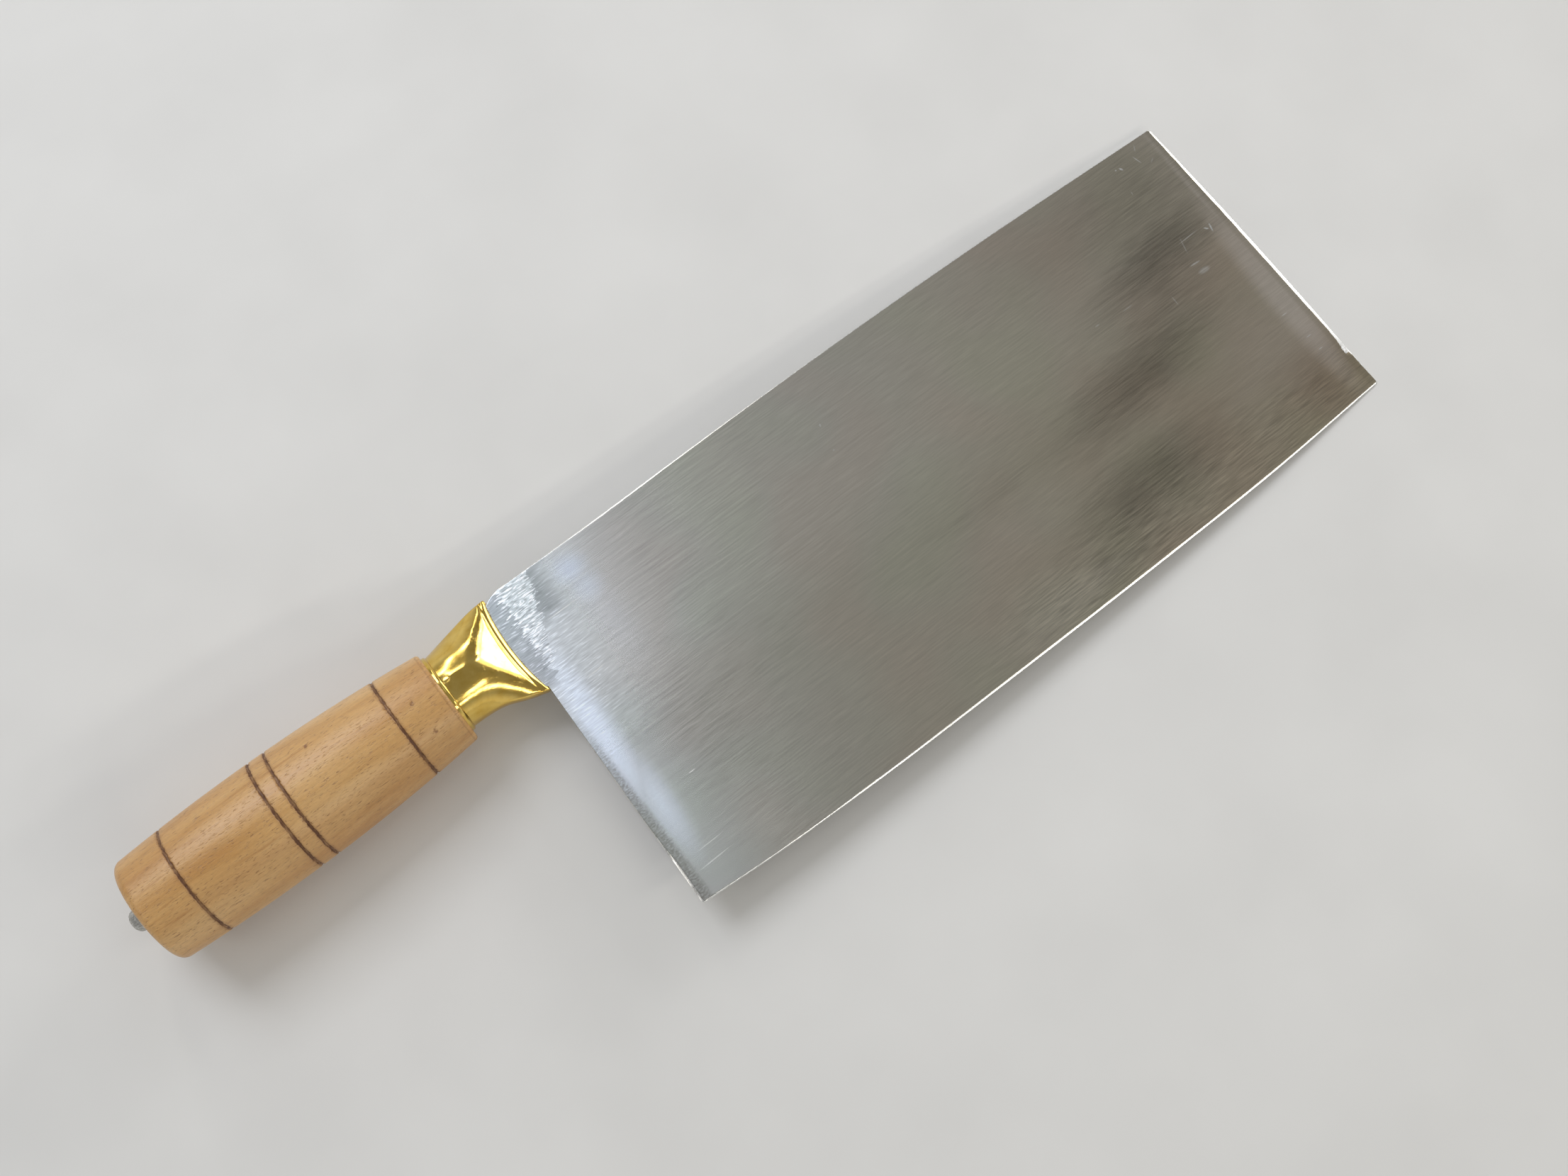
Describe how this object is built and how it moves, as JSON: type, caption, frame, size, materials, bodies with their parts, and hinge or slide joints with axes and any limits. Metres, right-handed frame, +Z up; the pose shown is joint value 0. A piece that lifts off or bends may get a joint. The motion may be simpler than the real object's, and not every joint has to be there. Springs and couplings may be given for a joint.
{
  "type": "chinese cleaver",
  "caption": "Chinese vegetable cleaver: broad thin steel blade with a straight bevelled edge, a flared brass ferrule and a turned wooden barrel handle, lying on its side.",
  "frame": {"origin": "on the surface that the cleaver lies on, under the middle of its bounding box", "axes": "+Z up, out of the cheek that shows in the picture; +X from the butt to the blade's front end; +Y from the cutting edge to the spine. The cleaver is stored as it rests: on the barrel of its handle and both corners of its front end, so its axis dips by 2.88 degrees towards the front end and its blade is rolled by 0.53 degrees."},
  "size_m": [0.3414, 0.0998, 0.0322],
  "materials": {
    "blade_steel": "satin, brushed along the blade",
    "cast_brass": "polished casting",
    "turned_wood": "sanded, thin clear varnish",
    "mild_steel": "as drawn, hammered at the end",
    "setting_resin": "dull"
  },
  "bodies": {
    "root": {"blade": "blade_steel", "ferrule": "cast_brass", "handle": "turned_wood", "tang": "mild_steel", "butt_washer": "mild_steel", "cement": "setting_resin"}
  },
  "joints": []
}
